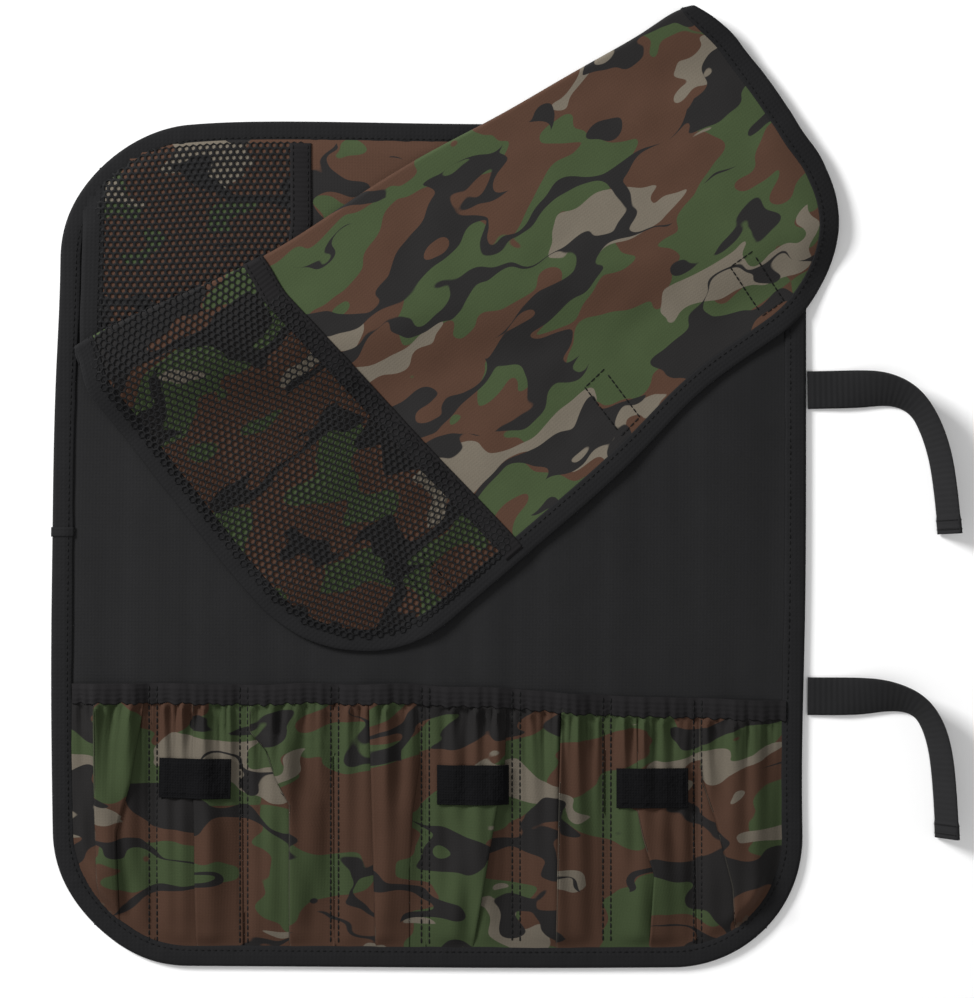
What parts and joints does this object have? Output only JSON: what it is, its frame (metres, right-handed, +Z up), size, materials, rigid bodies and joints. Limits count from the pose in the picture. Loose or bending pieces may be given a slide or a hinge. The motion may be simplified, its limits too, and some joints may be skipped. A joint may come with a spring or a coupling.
{
  "type": "carving tool roll",
  "caption": "Flat cloth tool roll with eight gathered pockets, a folded cover flap with a net pocket, hook and loop closures and two tie straps.",
  "frame": {"origin": "centre of the panel's underside, on the surface that the roll lies on", "axes": "+X along the row of pockets towards the tie straps, +Y from the pockets towards the flap seam, +Z up out of the panel"},
  "size_m": [0.4839, 0.5073, 0.017],
  "materials": {
    "outer_cloth": "matt black woven nylon",
    "lining_cloth": "black woven nylon with a faint sheen",
    "camo_cloth": "printed camouflage canvas, matt",
    "binding_tape": "black ribbed binding tape",
    "elastic_band": "black stretch binding",
    "net": "open black hexagonal mesh",
    "loop_pile": "fuzzy black loop tape",
    "hook_tape": "stiff black hook tape",
    "strap_tape": "black woven tape, 20 mm wide"
  },
  "bodies": {
    "panel": {"outer_shell": "outer_cloth", "inner_lining": "lining_cloth", "panel_binding": "binding_tape", "pocket_1": "camo_cloth", "pocket_2": "camo_cloth", "pocket_3": "camo_cloth", "pocket_4": "camo_cloth", "pocket_5": "camo_cloth", "pocket_6": "camo_cloth", "pocket_7": "camo_cloth", "pocket_8": "camo_cloth", "pocket_mouth_band": "elastic_band", "loop_patch_1": "loop_pile", "loop_patch_2": "loop_pile", "loop_patch_3": "loop_pile"},
    "flap_upper": {"flap_upper_cloth": "camo_cloth", "flap_upper_binding_left": "binding_tape", "flap_upper_binding_right": "binding_tape", "flap_upper_net": "net", "flap_upper_net_band": "binding_tape"},
    "flap_middle": {"flap_middle_cloth": "camo_cloth", "flap_middle_binding_left": "binding_tape", "flap_middle_binding_right": "binding_tape", "flap_middle_net": "net", "flap_middle_net_band": "binding_tape"},
    "flap_lower": {"flap_lower_cloth": "camo_cloth", "flap_lower_binding": "binding_tape", "flap_lower_net": "net", "flap_lower_net_band": "binding_tape", "hook_strip_1": "hook_tape", "hook_strip_2": "hook_tape", "hook_strip_3": "hook_tape"},
    "strap_upper": {"strap_upper": "strap_tape"},
    "strap_lower": {"strap_lower": "strap_tape"}
  },
  "joints": [
    {"name": "flap_lift", "type": "hinge", "parent": "panel", "child": "flap_upper", "pos_m": [0, 0.2228, 0.0034], "axis": [-1, 0, 0], "range_deg": [0, 110]},
    {"name": "flap_unfold", "type": "hinge", "parent": "flap_upper", "child": "flap_middle", "pos_m": [-0.00408, 0.12469, 0.0056], "axis": [0.986, 0.1668, 0], "range_deg": [0, 170]},
    {"name": "flap_counterfold", "type": "hinge", "parent": "flap_middle", "child": "flap_lower", "pos_m": [-0.02784, 0.19331, 0.009], "axis": [-0.878, -0.4787, 0], "range_deg": [0, 176]},
    {"name": "strap_upper_swing", "type": "hinge", "parent": "panel", "child": "strap_upper", "pos_m": [0.2, 0.0825, 0.00105], "axis": [0, -1, 0], "range_deg": [0, 90]},
    {"name": "strap_lower_swing", "type": "hinge", "parent": "panel", "child": "strap_lower", "pos_m": [0.2, -0.08, 0.00105], "axis": [0, -1, 0], "range_deg": [0, 90]}
  ],
  "couplings": [
    {"joint": "flap_counterfold", "follows": "flap_unfold", "ratio": 1.03}
  ]
}
